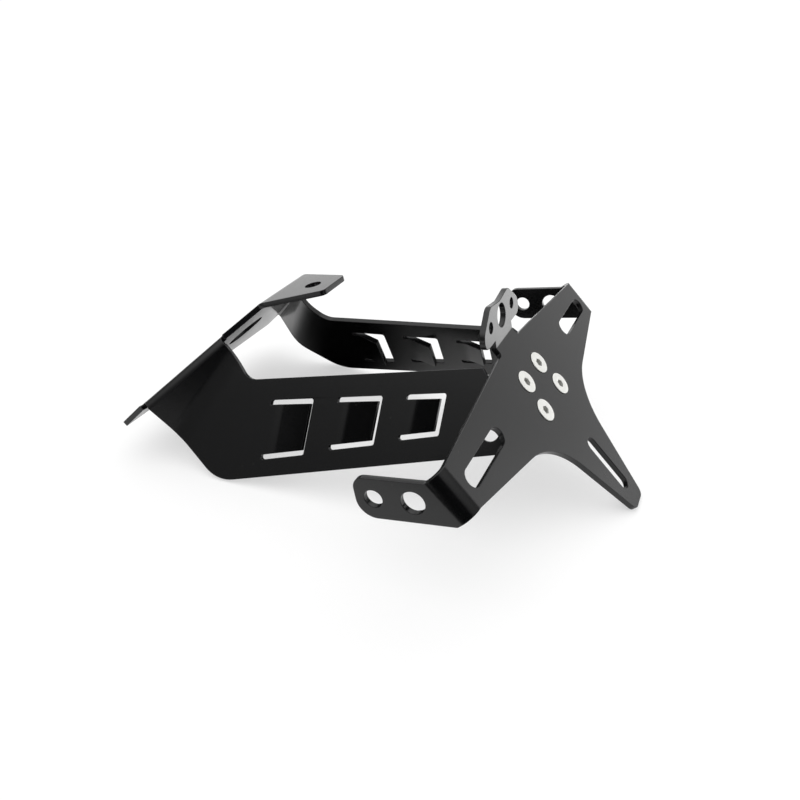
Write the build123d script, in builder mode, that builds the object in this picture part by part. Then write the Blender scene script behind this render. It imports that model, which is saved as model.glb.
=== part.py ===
import os
from math import atan, cos, degrees, radians, sin, tan

from build123d import *

os.makedirs("parts", exist_ok=True)

# Millimetres and degrees. +X runs to the rear, +Y to the side, +Z up; it stands as it does on a table.
# Sheet and fold sizes, shared by both folded pieces
sheet = 3.0
bend_in = 1.5
bend_out = bend_in + sheet
fit_gap = 0.3

# Plate: the tilted Y-shaped piece, measured across it and down its slope from its top line
plate_slope = 44.7
plate_top_x = 1.2
plate_top_z = 75.9
plate_top_half = 18.0
plate_top_dip = 1.0
ear_outer = 110.9
ear_bend_top = 6.4
ear_bend_low = 29.2
plate_low_x = 28.0
plate_low_y = 44.0
plate_waist_r = 40.0
tip_half = 7.6
tip_r = 4.5
slot_w = 9.0
slot_inner = 56.6
slot_outer = 98.6
slot_down = 19.3
low_slot_w = 8.0
low_slot_top = 62.0
low_slot_end = 95.0

# Ears folded forward from the plate in a wide fold, running forward and slightly down
ear_bend_in = 5.0
ear_bend_out = ear_bend_in + sheet
ear_turn = 34.0
ear_w = 19.9
ear_reach = 33.5
ear_corner_top = 5.5
ear_corner_low = 9.0
ear_small_r = 4.2
ear_small_at = 24.9
ear_large_r = 5.4
ear_large_at = 6.7

# Light tab folded back from the middle of the plate's top
tab_bend_up = 5.4
tab_turn = 34.0
tab_neck = 13.0
tab_half = 26.6
tab_low = 3.2
tab_wide_at = 11.0
tab_lobe = 14.0
tab_lobe_h = 21.2
tab_dip_h = 19.2
tab_corner_r = 4.5
tab_lobe_r = 6.5
tab_hole_r = 6.0
tab_screw_r = 2.75
tab_screw_half = 16.4
tab_hole_up = 11.6

# Web and top flange of the main bracket; lengths run down the web from the flange fold
web_slope = 44.8
web_top_x = -131.4
web_top_z = 84.0
web_len = 90.0
web_half = 22.6
web_tip_half = 72.3
web_tip_r = 1.5
side_half = 26.7
web_spread = 31.7
web_fold_from = 22.3
web_fold_to = 69.2
relief = 1.8
lead_hole_r = 12.5
lead_hole_down = 42.0
top_bend_in = 6.0
top_bend_out = top_bend_in + sheet
flange_slope = 15.2
flange_len = 34.4
flange_end_half = 11.7
flange_corner_r = 3.5
flange_hole_r = 4.5
flange_hole_at = 20.6

# Side arm: its sheet leans in at the top and toes in to the rear; lengths are on the sheet from its foot
side_fold = 100.0
arm_lean = 30.6
arm_toe = 2.0
arm_foot_x = -131.7
arm_foot_y = 72.9
arm_foot_r = 20.0
arm_front_rise = 34.1
arm_low_rise = 17.8
arm_top_rise = 13.3
arm_top_x = 4.2
arm_top_y = 56.8
arm_top_r = 9.0
arm_fold_r = 25.0
arm_hole_x = 137.4
arm_hole_y = 56.6
arm_hole_r = 4.5

# Lengths the strip and arm are first drawn to, before they are cut to outline
strip_run = 80.0
arm_run = 320.0

# Louvers: window start and end along the arm, margin under the arm's top edge, line of the lower front corners,
# rise of each lower slit, slit width, gap at the tab's end and tab fold
louver_spans = ((20.1, 43.8), (57.2, 80.7), (93.1, 112.9))
louver_margin = 11.3
louver_low_y = 16.8
louver_low_rise = 19.7
louver_slit_rise = 18.3
slit = 2.5
slit_end_r = 1.3
louver_gap = 3.6
louver_flat = 5.2
louver_turn = 18.0
louver_r = 16.0

# Rear flanges of the arms, lying flat against the plate's front face
rear_bend_top = 4.0
rear_bend_low = 36.0
rear_top_x = 3.6
rear_top_y = 9.0
rear_low_x = 6.6
rear_low_y = 43.5
rear_r = 4.0

# Countersunk screws and lock nuts, upper and lower pair
screw_r = 3.0
head_r = 6.0
head_rim = 0.4
screw_len = 14.0
hex_af = 4.0
hex_deep = 2.4
screw_top_half = 11.0
screw_top_down = 17.2
screw_low_half = 14.5
screw_low_down = 33.4
nut_af = 10.0
nut_hex_h = 4.6
nut_h = 6.0
nut_collar_r = 4.3

# The plate's end stands on the floor; the origin is under the middle of the whole length
tip_down = (plate_top_z - sheet * cos(radians(plate_slope))) / sin(radians(plate_slope))
front_x = web_top_x - web_len * cos(radians(web_slope))
rear_x = plate_top_x + tip_down * cos(radians(plate_slope))
mid_x = (front_x + rear_x) / 2


def slope(angle):
    """Unit vector in the XZ plane, angle up from +X."""
    return Vector(cos(radians(angle)), 0, sin(radians(angle)))


def at(x, y, z):
    return Vector(x - mid_x, y, z)


def nearest(builder, points):
    """The builder's vertices nearest to points of its plane."""
    return [builder.vertices().sort_by_distance(Vector(x, y, 0))[0] for x, y in points]


def fold(corner, first, second, outer=bend_out):
    """Plane at the centre of a fold whose outer faces, with these normals, would meet at corner."""
    centre = corner - (first + second) * (outer / (1 + first.dot(second)))
    return Plane(origin=centre, x_dir=first, z_dir=first.cross(second))


def inset(first, second, outer=bend_out):
    """Length of each outer face that a fold takes up."""
    return outer * tan(radians(first.get_angle(second)) / 2)


def cross_2d(p, p_rise, q, q_rise):
    """Where two lines of a plane meet, each given by a point and its rise in degrees."""
    a, b = tan(radians(p_rise)), tan(radians(q_rise))
    x = (q[1] - p[1] + a * p[0] - b * q[0]) / (a - b)
    return x, p[1] + a * (x - p[0])


side = Vector(0, 1, 0)

# Plate frame: local x across, local y down the slope, z into the sheet (forward)
plate_out = slope(90 - plate_slope)
plate_down = slope(-plate_slope)
plate_rear = Plane(origin=at(plate_top_x, 0, plate_top_z), x_dir=side, z_dir=-plate_out)
plate_front = plate_rear.offset(sheet)
head_face = plate_rear.offset(-head_rim)
nut_face = plate_front.offset(sheet)

# Ear frame: local x forward from the plate's rear face, local y down the slope
ear_face = Plane(origin=plate_rear.origin + side * ear_outer, x_dir=-plate_out, z_dir=-side)
ear_start = ear_outer - ear_bend_out
ear_fold = fold(ear_face.origin + plate_down * ear_bend_low, plate_out, side, ear_bend_out)

# The ear is a straight band, its top edge leaving the fold at the fold's upper end
ear_dir = Vector(cos(radians(ear_turn)), -sin(radians(ear_turn)))
ear_across = Vector(sin(radians(ear_turn)), cos(radians(ear_turn)))
ear_p1 = Vector(ear_bend_out, ear_bend_top)
ear_p2 = ear_p1 + ear_dir * ear_reach
ear_p3 = ear_p2 + ear_across * ear_w
ear_low = ear_p1 + ear_across * ear_w
ear_p4 = Vector(ear_low.X + (ear_low.Y - ear_bend_low) / tan(radians(ear_turn)), ear_bend_low)
ear_mid = ear_p1 + ear_across * (ear_w / 2)
ear_small = ear_mid + ear_dir * ear_small_at
ear_large = ear_mid + ear_dir * ear_large_at

# Light tab frame: local x across, local y down from the fold
tab_out = slope(90 - plate_slope - tab_turn)
tab_inset = bend_in * tan(radians(tab_turn) / 2)
neck_top = tab_inset - tab_bend_up
tab_axis = plate_rear.origin + plate_down * neck_top + plate_out * bend_in
tab_fold = Plane(origin=tab_axis, x_dir=-plate_out, z_dir=side)
tab_face = Plane(origin=tab_axis - tab_out * bend_in, x_dir=side, z_dir=-tab_out)
screw_spots = [
    (-screw_top_half, screw_top_down), (screw_top_half, screw_top_down),
    (-screw_low_half, screw_low_down), (screw_low_half, screw_low_down),
]

with BuildPart() as plate_bracket:
    with BuildSketch(plate_rear) as plate_outline:
        with BuildLine():
            Polyline(
                (0, neck_top), (tab_neck, neck_top),
                (tab_neck, -plate_top_dip), (plate_top_half, -plate_top_dip),
                (ear_start, ear_bend_top), (ear_start, ear_bend_low), (plate_low_x, plate_low_y),
                (tip_half, tip_down), (0, tip_down), close=True,
            )
        make_face()
        fillet(nearest(plate_outline, [(plate_low_x, plate_low_y)]), plate_waist_r)
        fillet(nearest(plate_outline, [(tip_half, tip_down)]), tip_r)
        fillet(nearest(plate_outline, [(tab_neck, -plate_top_dip)]), sheet / 2)
    extrude(amount=sheet)
    # ear fold and ear
    with BuildSketch(ear_fold):
        with BuildLine():
            CenterArc((0, 0), ear_bend_in, 0, 90)
            CenterArc((0, 0), ear_bend_out, 0, 90)
            Line((ear_bend_in, 0), (ear_bend_out, 0))
            Line((0, ear_bend_in), (0, ear_bend_out))
        make_face()
    extrude(amount=ear_bend_low - ear_bend_top)
    with BuildSketch(ear_face) as ear_outline:
        with BuildLine():
            Polyline(ear_p1, ear_p2, ear_p3, ear_p4, (ear_bend_out, ear_bend_low), close=True)
        make_face()
        fillet(nearest(ear_outline, [(ear_p2.X, ear_p2.Y)]), ear_corner_top)
        fillet(nearest(ear_outline, [(ear_p3.X, ear_p3.Y)]), ear_corner_low)
        with Locations((ear_small.X, ear_small.Y)):
            Circle(ear_small_r, mode=Mode.SUBTRACT)
        with Locations((ear_large.X, ear_large.Y)):
            Circle(ear_large_r, mode=Mode.SUBTRACT)
    extrude(amount=sheet)
    # light tab fold and light tab
    with BuildSketch(tab_fold):
        with BuildLine():
            CenterArc((0, 0), bend_in, 0, tab_turn)
            CenterArc((0, 0), bend_out, 0, tab_turn)
            Line((bend_in, 0), (bend_out, 0))
            Line(
                (bend_in * cos(radians(tab_turn)), bend_in * sin(radians(tab_turn))),
                (bend_out * cos(radians(tab_turn)), bend_out * sin(radians(tab_turn))),
            )
        make_face()
    extrude(amount=tab_neck)
    with BuildSketch(tab_face) as tab_outline:
        with BuildLine():
            Polyline(
                (0, 0), (tab_neck, 0), (tab_neck, -tab_low), (tab_half, -tab_low), (tab_half, -tab_wide_at),
                (tab_lobe, -tab_lobe_h), (0, -tab_dip_h), close=True,
            )
        make_face()
        fillet(nearest(tab_outline, [(tab_half, -tab_low)]), tab_corner_r)
        fillet(nearest(tab_outline, [(tab_half, -tab_wide_at), (tab_lobe, -tab_lobe_h)]), tab_lobe_r)
    extrude(amount=sheet)
    # upper slot, then the other half
    with BuildSketch(plate_rear):
        with Locations(((slot_inner + slot_outer) / 2, slot_down)):
            SlotOverall(slot_outer - slot_inner, slot_w)
    extrude(amount=sheet, mode=Mode.SUBTRACT)
    mirror(about=Plane.XZ)
    # lower slot, light holes and the countersunk screw holes
    with BuildSketch(plate_rear):
        with Locations((0, (low_slot_top + low_slot_end) / 2)):
            SlotOverall(low_slot_end - low_slot_top, low_slot_w, rotation=90)
        with Locations(*screw_spots):
            Circle(screw_r + fit_gap)
    extrude(amount=sheet, mode=Mode.SUBTRACT)
    with BuildSketch(plate_rear):
        with Locations(*screw_spots):
            Circle(head_r + fit_gap)
    extrude(amount=head_r - screw_r, taper=45, mode=Mode.SUBTRACT)
    with BuildSketch(tab_face):
        with Locations((0, -tab_hole_up)):
            Circle(tab_hole_r)
        with Locations((-tab_screw_half, -tab_hole_up), (tab_screw_half, -tab_hole_up)):
            Circle(tab_screw_r)
    extrude(amount=sheet, mode=Mode.SUBTRACT)

# Web frame: local x across, local y down the web; flange frame: local y back along the flange
web_out = slope(90 + web_slope)
web_down = slope(180 + web_slope)
web_face = Plane(origin=at(web_top_x, 0, web_top_z), x_dir=side, z_dir=web_out)
flange_out = slope(90 + flange_slope)
flange_face = Plane(origin=web_face.origin, x_dir=side, z_dir=-flange_out)
top_fold = fold(web_face.origin, web_out, flange_out, top_bend_out)
top_inset = inset(web_out, flange_out, top_bend_out)
top_turn = web_slope - flange_slope

# Side fold: it follows the web's slanted edge
spread = radians(web_spread)
edge_dir = web_down * cos(spread) + side * sin(spread)
strip_out = web_out.rotate(Axis((0, 0, 0), edge_dir), side_fold)
strip_in = edge_dir.cross(strip_out)
side_inset = inset(web_out, strip_out)


def web_edge(down):
    """A point on the web's slanted edge, at this length down the web."""
    return web_face.origin + web_down * down + side * (side_half + down * tan(spread))


def web_notch(down):
    """The same point moved in to where the side fold starts, on the web's own plane."""
    return (
        side_half + down * tan(spread) - side_inset * cos(spread),
        down + side_inset * sin(spread),
    )


side_bend = fold(web_edge(web_fold_from), web_out, strip_out)

# Arm frame: local x to the rear, local y up along the sheet, z into the sheet
arm_x = Vector(cos(radians(arm_toe)), -sin(radians(arm_toe)), 0)
arm_flat = Vector(sin(radians(arm_toe)), cos(radians(arm_toe)), 0)
arm_out = arm_flat * cos(radians(arm_lean)) + Vector(0, 0, sin(radians(arm_lean)))
arm_up = arm_out.cross(arm_x) * -1
arm_face = Plane(origin=at(arm_foot_x, arm_foot_y, 0), x_dir=arm_x, z_dir=-arm_out)


def on_arm(point):
    """A space point seen square to the arm, in the arm's plane."""
    local = arm_face.to_local_coords(point)
    return local.X, local.Y


# Line where the strip beside the web meets the arm
fold_dir = strip_out.cross(arm_out).normalized()
fold_dir = fold_dir * (1 if fold_dir.Z > 0 else -1)
step = arm_out.cross(fold_dir)
reach = (web_edge(web_fold_to) - arm_face.origin).dot(strip_out) / step.dot(strip_out)
fold_point = arm_face.origin + step * reach
arm_turn = arm_out.get_angle(strip_out)
arm_fold = Plane(origin=fold_point, x_dir=arm_out.cross(fold_dir), z_dir=fold_dir)
turn = radians(arm_turn)
fold_in = Vector(-sheet * tan(turn / 2), -sheet)

# Arm outline, seen square to the arm; its foot is a round corner whose lowest point is on the floor
foot = Vector(0, arm_foot_r + sheet * tan(radians(arm_lean)))
low_n = Vector(sin(radians(arm_low_rise)), -cos(radians(arm_low_rise)))
front_n = Vector(-sin(radians(arm_front_rise)), -cos(radians(arm_front_rise)))
foot_corner = foot + (low_n + front_n) * (arm_foot_r / (1 + low_n.dot(front_n)))
foot_xy = (foot_corner.X, foot_corner.Y)
fold_xy = on_arm(fold_point)
fold_up = on_arm(fold_point + fold_dir)
fold_rise = degrees(atan((fold_up[1] - fold_xy[1]) / (fold_up[0] - fold_xy[0])))
front_xy = cross_2d(foot_xy, -arm_front_rise, fold_xy, fold_rise)
strip_top = web_edge(web_fold_from) + strip_in * side_inset
strip_low = web_edge(web_fold_to) + strip_in * side_inset
lead = strip_in * -bend_out * 2
arm_end = arm_run / 2
arm_top_xy = (arm_top_x, arm_top_y)
arm_points = [
    on_arm(strip_top + lead), on_arm(strip_top), arm_top_xy,
    (arm_end, arm_top_y + (arm_end - arm_top_x) * tan(radians(arm_top_rise))),
    (arm_end, foot_xy[1] + (arm_end - foot_xy[0]) * tan(radians(arm_low_rise))),
    foot_xy, front_xy, on_arm(strip_low), on_arm(strip_low + lead),
]

# Rear fold: where the arm's outer face meets the plate's front face
rear_dir = arm_out.cross(plate_out).normalized()
rear_in = rear_dir.cross(plate_out)
rear_in = rear_in * (1 if rear_in.Y < 0 else -1)
arm_back = rear_dir.cross(arm_out)
arm_back = arm_back * (1 if arm_back.X < 0 else -1)
rear_inset = inset(arm_out, plate_out)
rear_turn = arm_out.get_angle(plate_out)


def rear_line(down):
    """The point of the rear fold line at this length down the plate."""
    start = plate_front.origin + plate_down * down
    return start + side * ((arm_face.origin - start).dot(arm_out) / arm_out.Y)


rear_bend = fold(rear_line(rear_bend_top), arm_out, plate_out)
rear_len = (rear_line(rear_bend_low) - rear_line(rear_bend_top)).length
rear_p1 = plate_front.to_local_coords(rear_line(rear_bend_top) + rear_in * rear_inset)
rear_p2 = plate_front.to_local_coords(rear_line(rear_bend_low) + rear_in * rear_inset)


def louver_top(x):
    rise = radians(arm_top_rise)
    return arm_top_y + (x - arm_top_x) * tan(rise) - louver_margin / cos(rise)


def louver_low(start, x):
    """Height of the lower slit of the window that starts here."""
    corner = louver_low_y + (start - louver_spans[0][0]) * tan(radians(louver_low_rise))
    return corner + (x - start) * tan(radians(louver_slit_rise))


# Strip and arm of one side, with the windows of the louvers
with BuildPart() as arm_side:
    with BuildSketch(arm_fold):
        with BuildLine():
            a = (-strip_run * cos(turn), strip_run * sin(turn))
            b = (a[0] - sheet * sin(turn), a[1] - sheet * cos(turn))
            FilletPolyline(a, (0, 0), (arm_run, 0), radius=arm_fold_r)
            FilletPolyline(b, (fold_in.X, fold_in.Y), (arm_run, -sheet), radius=arm_fold_r + sheet)
            Line(a, b)
            Line((arm_run, 0), (arm_run, -sheet))
        make_face()
    extrude(amount=arm_run, both=True)
    with BuildSketch(arm_face) as arm_outline:
        with BuildLine():
            Polyline(*arm_points, close=True)
        make_face()
        fillet(nearest(arm_outline, [arm_top_xy]), arm_top_r)
        fillet(nearest(arm_outline, [foot_xy]), arm_foot_r)
    extrude(amount=strip_run / 2, both=True, mode=Mode.INTERSECT)
    split(bisect_by=Plane(origin=strip_low, z_dir=strip_in), keep=Keep.TOP)
    split(bisect_by=Plane(origin=rear_line(0) + arm_back * rear_inset, z_dir=arm_back), keep=Keep.TOP)
    for x0, x1 in louver_spans:
        with BuildSketch(arm_face) as window:
            with BuildLine():
                Polyline(
                    (x0, louver_top(x0)), (x1, louver_top(x1)),
                    (x1, louver_low(x0, x1)), (x0, louver_low(x0, x0)), close=True,
                )
            make_face()
            fillet(window.vertices(), slit_end_r)
        extrude(amount=sheet, mode=Mode.SUBTRACT)
    with BuildSketch(arm_face):
        with Locations((arm_hole_x, arm_hole_y)):
            Circle(arm_hole_r)
    extrude(amount=sheet, mode=Mode.SUBTRACT)

# Louver tabs of one side: each leaves the window's front edge and turns inward
with BuildPart() as louver_tabs:
    bow = radians(louver_turn)
    for x0, x1 in louver_spans:
        hinge = x0 + louver_flat
        drop = (x1 - hinge) * tan(bow)
        with BuildSketch(Plane(origin=arm_face.origin, x_dir=arm_x, z_dir=arm_up)):
            with BuildLine():
                FilletPolyline((x0, 0), (hinge, 0), (x1, -drop), radius=louver_r)
                FilletPolyline(
                    (x0, -sheet), (hinge - sheet * tan(bow / 2), -sheet),
                    (x1 - sheet * sin(bow), -drop - sheet * cos(bow)), radius=louver_r - sheet,
                )
                Line((x0, 0), (x0, -sheet))
                Line((x1, -drop), (x1 - sheet * sin(bow), -drop - sheet * cos(bow)))
            make_face()
        extrude(amount=arm_end)
    with BuildSketch(arm_face):
        for x0, x1 in louver_spans:
            end = x1 - louver_gap
            up = slit / cos(radians(arm_top_rise))
            low = slit / cos(radians(louver_slit_rise))
            with BuildLine():
                Polyline(
                    (x0, louver_top(x0) - up), (end, louver_top(end) - up),
                    (end, louver_low(x0, end) + low), (x0, louver_low(x0, x0) + low), close=True,
                )
            make_face()
    extrude(amount=arm_end / 2, both=True, mode=Mode.INTERSECT)

with BuildPart() as main_bracket:
    # web, with the relief beside the side fold
    with BuildSketch(web_face) as web_outline:
        with BuildLine():
            Polyline(
                (0, top_inset), (web_half, top_inset),
                (side_half + (web_fold_from - relief) * tan(spread), web_fold_from - relief),
                web_notch(web_fold_from - relief), web_notch(web_fold_to + relief),
                (side_half + (web_fold_to + relief) * tan(spread), web_fold_to + relief),
                (web_tip_half, web_len), (0, web_len), close=True,
            )
        make_face()
        fillet(nearest(web_outline, [(web_tip_half, web_len)]), web_tip_r)
    extrude(amount=-sheet)
    # top flange and its fold
    with BuildSketch(top_fold):
        with BuildLine():
            CenterArc((0, 0), top_bend_in, 0, top_turn)
            CenterArc((0, 0), top_bend_out, 0, top_turn)
            Line((top_bend_in, 0), (top_bend_out, 0))
            Line(
                (top_bend_in * cos(radians(top_turn)), top_bend_in * sin(radians(top_turn))),
                (top_bend_out * cos(radians(top_turn)), top_bend_out * sin(radians(top_turn))),
            )
        make_face()
    extrude(amount=web_half)
    with BuildSketch(flange_face) as flange_outline:
        with BuildLine():
            Polyline(
                (0, top_inset), (web_half, top_inset),
                (flange_end_half, flange_len), (0, flange_len), close=True,
            )
        make_face()
        fillet(nearest(flange_outline, [(flange_end_half, flange_len)]), flange_corner_r)
    extrude(amount=sheet)
    # side fold
    with BuildSketch(side_bend):
        with BuildLine():
            CenterArc((0, 0), bend_in, 0, side_fold)
            CenterArc((0, 0), bend_out, 0, side_fold)
            Line((bend_in, 0), (bend_out, 0))
            Line(
                (bend_in * cos(radians(side_fold)), bend_in * sin(radians(side_fold))),
                (bend_out * cos(radians(side_fold)), bend_out * sin(radians(side_fold))),
            )
        make_face()
    extrude(amount=(web_fold_to - web_fold_from) / cos(spread))
    # arm, louver tabs, rear fold and rear flange
    add(arm_side.part)
    add(louver_tabs.part)
    with BuildSketch(rear_bend):
        with BuildLine():
            CenterArc((0, 0), bend_in, 0, rear_turn)
            CenterArc((0, 0), bend_out, 0, rear_turn)
            Line((bend_in, 0), (bend_out, 0))
            Line(
                (bend_in * cos(radians(rear_turn)), bend_in * sin(radians(rear_turn))),
                (bend_out * cos(radians(rear_turn)), bend_out * sin(radians(rear_turn))),
            )
        make_face()
    extrude(amount=rear_len)
    with BuildSketch(plate_front) as rear_outline:
        with BuildLine():
            Polyline(
                (rear_p1.X, rear_p1.Y), (rear_p2.X, rear_p2.Y),
                (rear_low_x, rear_low_y), (rear_top_x, rear_top_y), close=True,
            )
        make_face()
        fillet(nearest(rear_outline, [(rear_low_x, rear_low_y), (rear_top_x, rear_top_y)]), rear_r)
    extrude(amount=sheet)
    mirror(about=Plane.XZ)
    # mounting hole of the flange, lead hole of the web and screw holes of the rear flanges
    with BuildSketch(flange_face):
        with Locations((0, flange_hole_at)):
            Circle(flange_hole_r)
    extrude(amount=sheet, mode=Mode.SUBTRACT)
    with BuildSketch(web_face):
        with Locations((0, lead_hole_down)):
            Circle(lead_hole_r)
    extrude(amount=-sheet, mode=Mode.SUBTRACT)
    with BuildSketch(plate_front):
        with Locations(*screw_spots):
            Circle(screw_r + fit_gap)
    extrude(amount=sheet, mode=Mode.SUBTRACT)

with BuildPart() as countersunk_screws:
    with BuildSketch(head_face):
        with Locations(*screw_spots):
            Circle(head_r)
    extrude(amount=head_rim)
    with BuildSketch(plate_rear):
        with Locations(*screw_spots):
            Circle(head_r)
    extrude(amount=head_r - screw_r, taper=45)
    with BuildSketch(plate_rear):
        with Locations(*screw_spots):
            Circle(screw_r)
    extrude(amount=screw_len)
    with BuildSketch(head_face):
        with Locations(*screw_spots):
            RegularPolygon(radius=hex_af / 2, side_count=6, major_radius=False)
    extrude(amount=hex_deep, mode=Mode.SUBTRACT)

with BuildPart() as lock_nuts:
    with BuildSketch(nut_face):
        with Locations(*screw_spots):
            RegularPolygon(radius=nut_af / 2, side_count=6, major_radius=False)
    extrude(amount=nut_hex_h)
    with BuildSketch(nut_face):
        with Locations(*screw_spots):
            Circle(nut_collar_r)
    extrude(amount=nut_h)
    with BuildSketch(nut_face):
        with Locations(*screw_spots):
            Circle(screw_r + fit_gap)
    extrude(amount=nut_h, mode=Mode.SUBTRACT)

main_bracket.part.label = "main_bracket"
export_step(main_bracket.part, "parts/main_bracket.step")
plate_bracket.part.label = "plate_bracket"
export_step(plate_bracket.part, "parts/plate_bracket.step")
countersunk_screws.part.label = "countersunk_screws"
export_step(countersunk_screws.part, "parts/countersunk_screws.step")
lock_nuts.part.label = "lock_nuts"
export_step(lock_nuts.part, "parts/lock_nuts.step")
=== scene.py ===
from math import cos, hypot, pi, radians, sin

import bmesh
import bpy
from mathutils import Matrix, Vector


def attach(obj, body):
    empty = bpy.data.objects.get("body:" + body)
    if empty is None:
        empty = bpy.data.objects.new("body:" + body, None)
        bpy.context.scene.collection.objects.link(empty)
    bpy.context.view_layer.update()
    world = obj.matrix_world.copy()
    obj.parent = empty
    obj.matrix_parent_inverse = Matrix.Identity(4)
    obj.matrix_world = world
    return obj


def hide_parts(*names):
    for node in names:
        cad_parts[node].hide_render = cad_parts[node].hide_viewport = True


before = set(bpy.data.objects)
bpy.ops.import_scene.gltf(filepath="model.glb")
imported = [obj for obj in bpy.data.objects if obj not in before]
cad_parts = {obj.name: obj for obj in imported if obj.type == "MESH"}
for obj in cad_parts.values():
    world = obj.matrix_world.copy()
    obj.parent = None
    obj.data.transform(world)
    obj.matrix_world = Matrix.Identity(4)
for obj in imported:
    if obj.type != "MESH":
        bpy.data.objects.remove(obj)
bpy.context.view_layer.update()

# Metres, in the CAD frame. The plate's top line and slope place the fasteners.
plate_top = Vector((0.0609586, 0.0, 0.0759))
plate_slope = radians(44.7)
sheet = 0.003

# Edges that turn by more than edge_turn are rounded
edge_round, edge_turn = 0.00032, radians(28)

# Fasteners: half the distance between a pair, and how far down the plate it lies
upper_half, upper_down = 0.0110, 0.0172
lower_half, lower_down = 0.0145, 0.0334

# Screw depths count inward from the plate's face
head_r, head_rim, shank_r, screw_len = 0.0060, 0.0004, 0.0030, 0.0140
socket_half, socket_deep = 0.0020, 0.0024
thread_pitch, thread_root, thread_crest = 0.0010, 0.00245, 0.00297
thread_start, thread_end = 0.0046, 0.0134
rings_per_pitch = 8
nut_half, nut_hex_h, nut_h, nut_collar_r = 0.0050, 0.0046, 0.0060, 0.0043

# Points round each ring of a fastener
turns = 48


class Wire:
    """An output socket of a node; sums with numbers and other wires add Math nodes."""

    def __init__(self, graph, socket):
        self.graph, self.socket = graph, socket

    def also(self, name):
        """Another output of the same node."""
        return Wire(self.graph, self.socket.node.outputs[name])

    def math(self, operation, first, second):
        return self.graph.add("ShaderNodeMath", {"operation": operation}, {0: first, 1: second})

    def __add__(self, other):
        return self.math("ADD", self, other)

    def __sub__(self, other):
        return self.math("SUBTRACT", self, other)

    def __rsub__(self, other):
        return self.math("SUBTRACT", other, self)

    def __mul__(self, other):
        return self.math("MULTIPLY", self, other)

    __radd__, __rmul__ = __add__, __mul__


class Graph:
    """A node tree that is built one node at a time."""

    def __init__(self, tree):
        self.tree = tree
        tree.nodes.clear()

    def add(self, kind, settings=None, values=None, out=0):
        """A new node: its settings first, then its sockets' values or links; gives back one output."""
        node = self.tree.nodes.new(kind)
        for key, value in (settings or {}).items():
            setattr(node, key, value)
        for key, value in (values or {}).items():
            for given in value if isinstance(value, list) else [value]:
                if isinstance(given, Wire):
                    self.tree.links.new(given.socket, node.inputs[key])
                else:
                    node.inputs[key].default_value = given
        return Wire(self, node.outputs[out]) if node.outputs else None

    def mix(self, share, first, second):
        """A colour between two colours."""
        return self.add("ShaderNodeMix", {"data_type": "RGBA"}, {0: share, 6: first, 7: second}, out=2)

    def ramp(self, value, low, high):
        """0 below low, 1 above high, and smooth between."""
        return self.add(
            "ShaderNodeMapRange", {"interpolation_type": "SMOOTHSTEP"},
            {"Value": value, "From Min": low, "From Max": high},
        )

    def noise(self, place, scale, detail, roughness):
        return self.add(
            "ShaderNodeTexNoise", None,
            {"Vector": place, "Scale": scale, "Detail": detail, "Roughness": roughness},
        )

    def mark(self, name):
        """A value that the piece's mesh carries."""
        return self.add("ShaderNodeAttribute", {"attribute_name": name}, out="Fac")

    def surface(self, values):
        """Ends a material in one Principled surface."""
        shader = self.add("ShaderNodeBsdfPrincipled", None, values)
        self.add("ShaderNodeOutputMaterial", None, {"Surface": shader})


def material_graph(name):
    material = bpy.data.materials.new(name)
    material.use_nodes = True
    return material, Graph(material.node_tree)


def grey(level):
    return level, level, level, 1


def satin_black_coat():
    """Baked black coat: fine orange peel, faint haze and rubs, dust specks, and thin edges lightened
    partly by wear and partly by a painted highlight.
    """
    deep_black, pale_black = (0.0014, 0.0015, 0.0017, 1), (0.0028, 0.0029, 0.0032, 1)
    worn_and_highlit_edge, dust = (0.060, 0.061, 0.063, 1), (0.22, 0.22, 0.21, 1)
    material, g = material_graph("satin_black_coat")
    place = g.add("ShaderNodeTexCoord", out="Object")
    peel = g.noise(place, scale=900.0, detail=2.0, roughness=0.45)
    haze = g.noise(place, scale=14.0, detail=4.0, roughness=0.6)
    grain = g.noise(place, scale=260.0, detail=3.0, roughness=0.6)
    drawn = g.add(
        "ShaderNodeMapping", None,
        {"Vector": place, "Scale": (30.0, 420.0, 30.0), "Rotation": (0.3, 0.2, 0.5)},
    )
    rubs = g.ramp(g.noise(drawn, scale=1.0, detail=3.0, roughness=0.7), 0.60, 0.78)
    cells = g.add("ShaderNodeTexVoronoi", {"feature": "F1"}, {"Vector": place, "Scale": 170.0})
    specks = 1 - g.ramp(cells, 0.018, 0.034)
    edge = g.mark("edge")
    # Lighter edges where the grain allows: partly rubbed wear, partly a painted highlight along each
    # rounding
    wear_and_highlight = edge * g.ramp(grain, 0.40, 0.72)
    coat = g.mix(haze, deep_black, pale_black)
    coat = g.mix(wear_and_highlight * 0.5, coat, worn_and_highlit_edge)
    coat = g.mix(specks * 0.4, coat, dust)
    rough = 0.15 + haze * 0.08 + rubs * 0.05 + grain * 0.04 - edge * 0.03
    bump = g.add(
        "ShaderNodeBump", None,
        {"Strength": 0.12, "Distance": 0.00012, "Height": peel + grain * 0.5},
    )
    g.surface({"Base Color": coat, "Roughness": rough, "IOR": 1.47, "Normal": bump})
    return material


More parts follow.
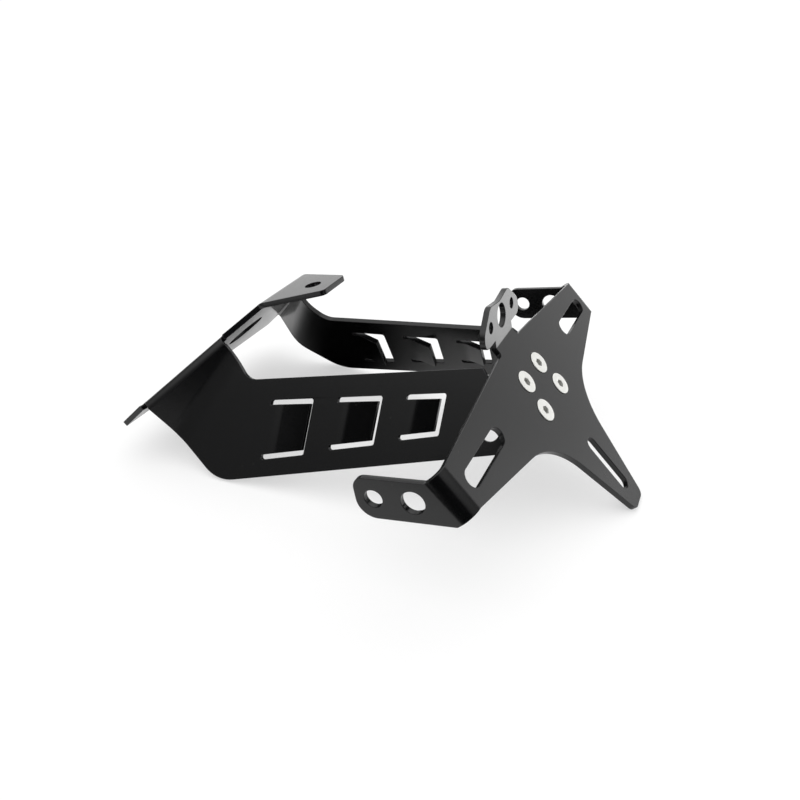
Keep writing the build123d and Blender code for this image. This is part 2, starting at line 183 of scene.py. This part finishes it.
def plated_steel():
    """Bright plated steel of the fasteners, with turning marks round each axis and painted shade in the
    screws' sockets.
    """
    dull_plate, bright_plate = (0.82, 0.82, 0.79, 1), (0.94, 0.94, 0.91, 1)
    pit_grey, socket_shade_grey = (0.42, 0.42, 0.41, 1), (0.16, 0.16, 0.15, 1)
    mark_pitch = 0.00042
    material, g = material_graph("plated_steel")
    place = g.add("ShaderNodeTexCoord", out="Object")
    cloud = g.noise(place, scale=420.0, detail=3.0, roughness=0.6)
    pits = g.ramp(g.noise(place, scale=2600.0, detail=2.0, roughness=0.6), 0.62, 0.80)
    wave = g.mark("reach") * (2 * pi / mark_pitch) + cloud * 5.0
    marks = g.add("ShaderNodeMath", {"operation": "SINE"}, {0: wave})
    tint = g.mix(cloud, dull_plate, bright_plate)
    tint = g.mix(pits * 0.4, tint, pit_grey)
    # Painted shade: the hollow of each screw's socket is darkened in colour
    tint = g.mix(g.mark("sunk") * 0.4, tint, socket_shade_grey)
    rough = 0.46 + cloud * 0.14 + marks * 0.03
    bump = g.add(
        "ShaderNodeBump", None,
        {"Strength": 0.18, "Distance": 0.00005, "Height": marks * 0.5 - pits},
    )
    g.surface({"Base Color": tint, "Metallic": 1.0, "Roughness": rough, "Normal": bump})
    return material


def reflection_card_paint(name, pale_reflection_ends):
    """Colour of a card that only reflections see, painting a dark reflection; with its pale-ends share at
    1 it turns pale toward its rear and front ends, painting a lighter reflection there.
    """
    material, g = material_graph(name)
    place = g.add("ShaderNodeTexCoord", out="Object")
    along = g.add("ShaderNodeSeparateXYZ", None, {0: place}, out="X")
    rear = g.ramp(along, -0.065, 0.015)
    front = g.ramp(along * -1.0, 0.085, 0.16)
    reflected_tone = g.mix((rear + front) * pale_reflection_ends, (0.010, 0.010, 0.011, 1), grey(0.95))
    g.surface({"Base Color": reflected_tone, "Roughness": 1.0, "Specular IOR Level": 0.0})
    return material


def pale_floor():
    """White floor that stays near white where it is seen, and still takes the object's shadow."""
    glow = 0.55
    material, g = material_graph("pale_floor")
    painted = g.add(
        "ShaderNodeBsdfPrincipled", None,
        {"Base Color": grey(0.97), "Roughness": 1.0, "Specular IOR Level": 0.0},
    )
    white = g.add("ShaderNodeEmission", None, {"Color": grey(1), "Strength": 1.0})
    path = g.add("ShaderNodeLightPath", out="Is Camera Ray")
    seen = path + path.also("Is Glossy Ray") + path.also("Is Transmission Ray")
    shader = g.add("ShaderNodeMixShader", None, {0: seen * glow, 1: painted, 2: white})
    g.add("ShaderNodeOutputMaterial", None, {"Surface": shader})
    return material


def new_object(name, data):
    made = bpy.data.objects.new(name, data)
    bpy.context.scene.collection.objects.link(made)
    return made


def settle(piece):
    """Turns a piece with its modifiers into a plain mesh."""
    bpy.context.view_layer.update()
    shown = piece.evaluated_get(bpy.context.evaluated_depsgraph_get())
    mesh = bpy.data.meshes.new_from_object(shown)
    piece.modifiers.clear()
    piece.data = mesh
    mesh.name = piece.name
    return mesh


def coated_sheet(node, finish):
    """A CAD sheet with rounded edges; its edge mark is 1 along the middle of each rounding."""
    work = bmesh.new()
    work.from_mesh(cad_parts[node].data)
    bmesh.ops.remove_doubles(work, verts=work.verts, dist=1e-6)
    bmesh.ops.dissolve_limit(work, angle_limit=radians(0.1), verts=work.verts, edges=work.edges)
    work.verts.index_update()
    mesh = bpy.data.meshes.new(node)
    mesh.from_pydata([v.co for v in work.verts], [], [[v.index for v in f.verts] for f in work.faces])
    work.free()
    mesh.shade_smooth()
    # A second slot, dropped again below, tells the faces of the roundings from the others
    mesh.materials.append(finish)
    mesh.materials.append(finish)
    piece = new_object(f"{node}_sheet", mesh)
    rounding = piece.modifiers.new("rounding", "BEVEL")
    rounding.width = edge_round
    rounding.segments = 2
    rounding.limit_method = "ANGLE"
    rounding.angle_limit = edge_turn
    rounding.use_clamp_overlap = False
    rounding.material = 1
    piece.modifiers.new("flat_faces", "WEIGHTED_NORMAL")
    mesh = settle(piece)
    flat = set()
    for face in mesh.polygons:
        if face.material_index == 0:
            flat.update(face.vertices)
        face.material_index = 0
    mesh.materials.pop(index=1)
    edge = mesh.attributes.new("edge", "FLOAT", "POINT")
    edge.data.foreach_set("value", [0.0 if v.index in flat else 1.0 for v in mesh.vertices])
    return piece


def hexagon(half, angle):
    """Distance from the axis to a hexagon's side, in this direction."""
    return half / cos((angle + pi / 6) % (pi / 3) - pi / 6)


def ring(depth, radius, half=None):
    """One ring of a turned form: round, six-sided, or six-sided with its corners cut to the radius."""
    points = []
    for i in range(turns):
        a = 2 * pi * i / turns
        r = radius if half is None else min(radius, hexagon(half, a))
        points.append(Vector((r * cos(a), r * sin(a), depth)))
    return points


def thread_ring(depth):
    """One ring of a thread: its crest winds round the axis and is a little flat."""
    points = []
    for i in range(turns):
        share = (depth / thread_pitch - i / turns) % 1.0
        height = min(1.0, 1.35 * (1 - abs(2 * share - 1)))
        r = thread_root + (thread_crest - thread_root) * height
        a = 2 * pi * i / turns
        points.append(Vector((r * cos(a), r * sin(a), depth)))
    return points


def turned_form(name, rings, closed):
    """A mesh skinned over rings; it carries each point's reach, the distance from the axis, and a mark
    that is 1 in a screw's socket, where the steel is darkened as painted shade.
    """
    socket_top, socket_bottom, socket_reach = -0.0002, 0.0035, 0.0025
    work = bmesh.new()
    rows = [[work.verts.new(p) for p in points] for points in rings]
    pairs = list(zip(rows, rows[1:])) + ([(rows[-1], rows[0])] if closed else [])
    for low, high in pairs:
        for i in range(turns):
            j = (i + 1) % turns
            work.faces.new((low[i], low[j], high[j], high[i]))
    if not closed:
        work.faces.new(rows[0])
        work.faces.new(rows[-1])
    bmesh.ops.recalc_face_normals(work, faces=work.faces)
    mesh = bpy.data.meshes.new(name)
    work.to_mesh(mesh)
    work.free()
    mesh.shade_smooth()
    mesh.set_sharp_from_angle(angle=radians(32))
    reaches = [hypot(v.co.x, v.co.y) for v in mesh.vertices]
    # The hollow of a screw's socket, which gets painted shade
    sunk = [
        float(socket_top < v.co.z < socket_bottom and reach < socket_reach)
        for v, reach in zip(mesh.vertices, reaches)
    ]
    for key, values in (("reach", reaches), ("sunk", sunk)):
        mesh.attributes.new(key, "FLOAT", "POINT").data.foreach_set("value", values)
    return new_object(name, mesh)


def screw_form():
    """Countersunk screw with a hexagon socket: its head's rim ends at depth 0, its thread runs in."""
    uncut = 1.0
    face = -head_rim
    deep = face + socket_deep
    cone = head_r - shank_r
    rings = [
        # Drill point and floor of the socket
        ring(deep + 0.0005, 0.00012), ring(deep + 0.00012, 0.00165),
        ring(deep, uncut, socket_half - 0.00010), ring(deep - 0.00012, uncut, socket_half),
        # Mouth of the socket
        ring(face + 0.00024, uncut, socket_half), ring(face + 0.00010, uncut, socket_half + 0.00008),
        ring(face + 0.00004, uncut, socket_half + 0.00022), ring(face + 0.00002, 0.0029),
        # Face and rim of the head
        ring(face, head_r - 0.00032), ring(face + 0.00004, head_r - 0.00014),
        ring(face + 0.00014, head_r - 0.00004), ring(face + 0.00024, head_r - 0.00002),
        # Cone and neck
        ring(-0.00002, head_r - 0.00002), ring(0.00012, head_r - 0.00016),
        ring(cone - 0.00014, shank_r + 0.00014), ring(cone + 0.00010, shank_r - 0.00010),
        ring(thread_start - 0.00040, shank_r - 0.00030),
    ]
    step = thread_pitch / rings_per_pitch
    steps = int((thread_end - thread_start) / step)
    rings += [thread_ring(thread_start + i * step) for i in range(steps)]
    rings += [
        ring(screw_len - 0.00045, thread_root), ring(screw_len - 0.00008, thread_root - 0.00045),
        ring(screw_len, 0.0018),
    ]
    return turned_form("screw_form", rings, False)


def nut_form():
    """Lock nut on the inner side of both sheets: a hexagon with cut corners and a round collar."""
    face = 2 * sheet
    hex_top, top = face + nut_hex_h, face + nut_h
    corner = nut_half / cos(pi / 6)

    def cut_corners(start, end, first, last, steps):
        """Rings that cut the hexagon's corners, from one depth and radius to another."""
        shares = [k / steps for k in range(steps + 1)]
        return [ring(start + (end - start) * s, first + (last - first) * s, nut_half) for s in shares]

    rings = [ring(face, shank_r + 0.00030), ring(face, nut_half - 0.00006)]
    rings += cut_corners(face, face + 0.00034, nut_half, corner, 4)
    rings += cut_corners(hex_top - 0.00040, hex_top, corner, nut_half, 5)
    rings += [
        # Foot of the collar
        ring(hex_top + 0.00002, nut_half - 0.00010), ring(hex_top + 0.00006, nut_collar_r + 0.00022),
        ring(hex_top + 0.00022, nut_collar_r + 0.00004), ring(hex_top + 0.00034, nut_collar_r),
        # Top of the collar
        ring(top - 0.00045, nut_collar_r), ring(top - 0.00014, nut_collar_r - 0.00012),
        ring(top, nut_collar_r - 0.00045), ring(top, shank_r + 0.00045),
        # Hole
        ring(top - 0.00035, shank_r + 0.00006), ring(face + 0.00030, shank_r + 0.00004),
    ]
    return turned_form("nut_form", rings, True)


def fastener_places():
    """Node tree that sets a form at the corners of the screws' pattern, each turned its own way."""
    tree = bpy.data.node_groups.new("fastener_places", "GeometryNodeTree")
    g = Graph(tree)
    tree.interface.new_socket("Geometry", in_out="OUTPUT", socket_type="NodeSocketGeometry")
    for name, kind in (
        ("Geometry", "Geometry"), ("Form", "Object"), ("Finish", "Material"),
        ("Upper Half", "Float"), ("Upper Down", "Float"), ("Lower Half", "Float"), ("Lower Down", "Float"),
        ("Top", "Vector"), ("Turn", "Rotation"), ("Seed", "Int"),
    ):
        tree.interface.new_socket(name, in_out="INPUT", socket_type=f"NodeSocket{kind}")
    take = g.add("NodeGroupInput").also
    pairs = []
    for row in ("Upper", "Lower"):
        half, down = take(f"{row} Half"), take(f"{row} Down")
        start = g.add("ShaderNodeCombineXYZ", None, {"X": half * -1.0, "Y": down})
        end = g.add("ShaderNodeCombineXYZ", None, {"X": half, "Y": down})
        pairs.append(g.add(
            "GeometryNodeMeshLine", {"mode": "END_POINTS"},
            {"Count": 2, "Start Location": start, "Offset": end},
        ))
    corners = g.add("GeometryNodeJoinGeometry", None, {0: pairs[::-1]})
    form = g.add(
        "GeometryNodeObjectInfo", {"transform_space": "ORIGINAL"}, {"Object": take("Form")}, out="Geometry"
    )
    spin = g.add(
        "FunctionNodeRandomValue", {"data_type": "FLOAT"}, {2: 0.0, 3: 2 * pi, "Seed": take("Seed")}, out=1
    )
    turn = g.add("ShaderNodeCombineXYZ", None, {"Z": spin})
    set_out = g.add(
        "GeometryNodeInstanceOnPoints", None, {"Points": corners, "Instance": form, "Rotation": turn}
    )
    placed = g.add(
        "GeometryNodeTransform", None,
        {"Geometry": set_out, "Translation": take("Top"), "Rotation": take("Turn")},
    )
    solid = g.add("GeometryNodeRealizeInstances", None, {"Geometry": placed})
    done = g.add("GeometryNodeSetMaterial", None, {"Geometry": solid, "Material": take("Finish")})
    g.add("NodeGroupOutput", None, {0: done})
    return tree


def fasteners(name, form, tree, finish, seed):
    """The four fasteners of one kind, as one plain mesh."""
    piece = new_object(name, bpy.data.meshes.new(name))
    modifier = piece.modifiers.new("places", "NODES")
    modifier.node_group = tree
    side, down = Vector((0, 1, 0)), Vector((cos(plate_slope), 0, -sin(plate_slope)))
    turn = Matrix((side, down, side.cross(down))).transposed().to_euler()
    values = {
        "Form": form, "Finish": finish, "Upper Half": upper_half, "Upper Down": upper_down,
        "Lower Half": lower_half, "Lower Down": lower_down, "Top": plate_top, "Turn": turn, "Seed": seed,
    }
    for socket in tree.interface.items_tree:
        if socket.in_out == "INPUT" and socket.name in values:
            modifier[socket.identifier] = values[socket.name]
    settle(piece)
    bpy.data.objects.remove(form)
    return piece


black = satin_black_coat()
steel = plated_steel()
places = fastener_places()
pieces = {
    "main_bracket": (coated_sheet("main_bracket", black), "black_sheet"),
    "plate_bracket": (coated_sheet("plate_bracket", black), "black_sheet"),
    "countersunk_screws": (fasteners("socket_screws", screw_form(), places, steel, seed=3), "screw_steel"),
    "lock_nuts": (fasteners("collar_nuts", nut_form(), places, steel, seed=8), "screw_steel"),
}
for node, (piece, finish) in pieces.items():
    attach(piece, "root")
    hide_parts(node)


def stage_sheet(name, corners, faces, finish):
    """A sheet of the studio, which isn't part of the object."""
    mesh = bpy.data.meshes.new(name)
    mesh.from_pydata(corners, [], faces)
    mesh.materials.append(finish)
    made = new_object(name, mesh)
    return made


# Studio: a pale floor, a room that is brightest overhead, softboxes behind, and dark cards in front of the
# object and under it that only the coat's reflections see, painting dark and graded reflections in the
# coat
stage_sheet("floor", [(-9, -9, 0), (9, -9, 0), (9, 9, 0), (-9, 9, 0)], [(0, 1, 2, 3)], pale_floor())
cards = (
    stage_sheet(
        "dark_cards",
        [
            (-0.25, -0.20, 0.002), (-0.25, -0.30, 0.002), (0.06, -0.30, 0.002), (0.06, -0.75, 0.002),
            (1.2, -0.75, 0.002), (1.2, -0.20, 0.002), (0.06, -0.75, 0.9), (1.2, -0.75, 0.9),
            (-0.03, -0.05, 0.0015), (0.07, -0.05, 0.0015), (0.07, 0.03, 0.0015), (-0.03, 0.03, 0.0015),
        ],
        [(0, 1, 2, 3, 4, 5), (4, 3, 6, 7), (8, 9, 10, 11)], reflection_card_paint("dark_felt", 0.0),
    ),
    stage_sheet(
        "graded_card",
        [(-0.19, -0.04, 0.001), (0.06, -0.04, 0.001), (0.06, 0.10, 0.001), (-0.19, 0.10, 0.001)],
        [(0, 1, 2, 3)], reflection_card_paint("graded_felt", 1.0),
    ),
)
# Hidden from the camera, from diffuse light and from shadows, the cards only paint dark reflections in the
# coat
for card in cards:
    card.visible_camera = card.visible_diffuse = card.visible_shadow = False

world = bpy.data.worlds.new("studio")
bpy.context.scene.world = world
world.use_nodes = True
room = Graph(world.node_tree)
toward = room.add("ShaderNodeTexCoord", out="Generated")
rise = room.add("ShaderNodeSeparateXYZ", None, {0: toward}, out="Z")
shade = room.mix(room.ramp(rise, 0.35, 0.85), grey(0.25), grey(1.6))
light = room.add("ShaderNodeBackground", None, {"Color": shade, "Strength": 1.0})
room.add("ShaderNodeOutputWorld", None, {0: light})

for name, place, way, width, height, level in (
    ("left_softbox", (-0.75, 1.3, 0.45), (0, -1, 0), 1.7, 0.8, 1.05),
    ("middle_softbox", (0.575, 1.3, 0.45), (0, -1, 0), 0.95, 0.8, 0.60),
    ("right_softbox", (1.65, 1.3, 0.45), (0, -1, 0), 1.2, 0.8, 1.0),
    ("low_softbox", (0.28, 0.34, 0.002), (0, 0, 1), 0.5, 0.3, 1.35),
):
    lamp = bpy.data.lights.new(name, "AREA")
    lamp.shape, lamp.size, lamp.size_y = "RECTANGLE", width, height
    lamp.energy = level * pi * width * height
    softbox = new_object(name, lamp)
    softbox.location = place
    softbox.rotation_euler = Vector(way).to_track_quat("-Z", "Y" if way[2] else "Z").to_euler()
    softbox.visible_camera = False

# Camera at the photograph's angle, with its focal length in pixels of the picture
camera_place = (0.150399, -0.33767, 0.25013)
pan, tilt, roll = radians(-23.99), radians(-30.85), radians(0.19)
focal_px, picture_px = 771, 800
ahead = Vector((sin(pan) * cos(tilt), cos(pan) * cos(tilt), sin(tilt)))
right = Vector((cos(pan), -sin(pan), 0))
up = right.cross(ahead)
right, up = right * cos(roll) + up * sin(roll), up * cos(roll) - right * sin(roll)
lens = bpy.data.cameras.new("camera")
lens.sensor_width = 36.0
lens.lens = lens.sensor_width * focal_px / picture_px
lens.clip_start = 0.01
camera = new_object("camera", lens)
aim = Matrix((right, up, -ahead)).transposed().to_4x4()
camera.matrix_world = Matrix.Translation(camera_place) @ aim
bpy.context.scene.camera = camera
bpy.context.scene.view_settings.view_transform = "Standard"
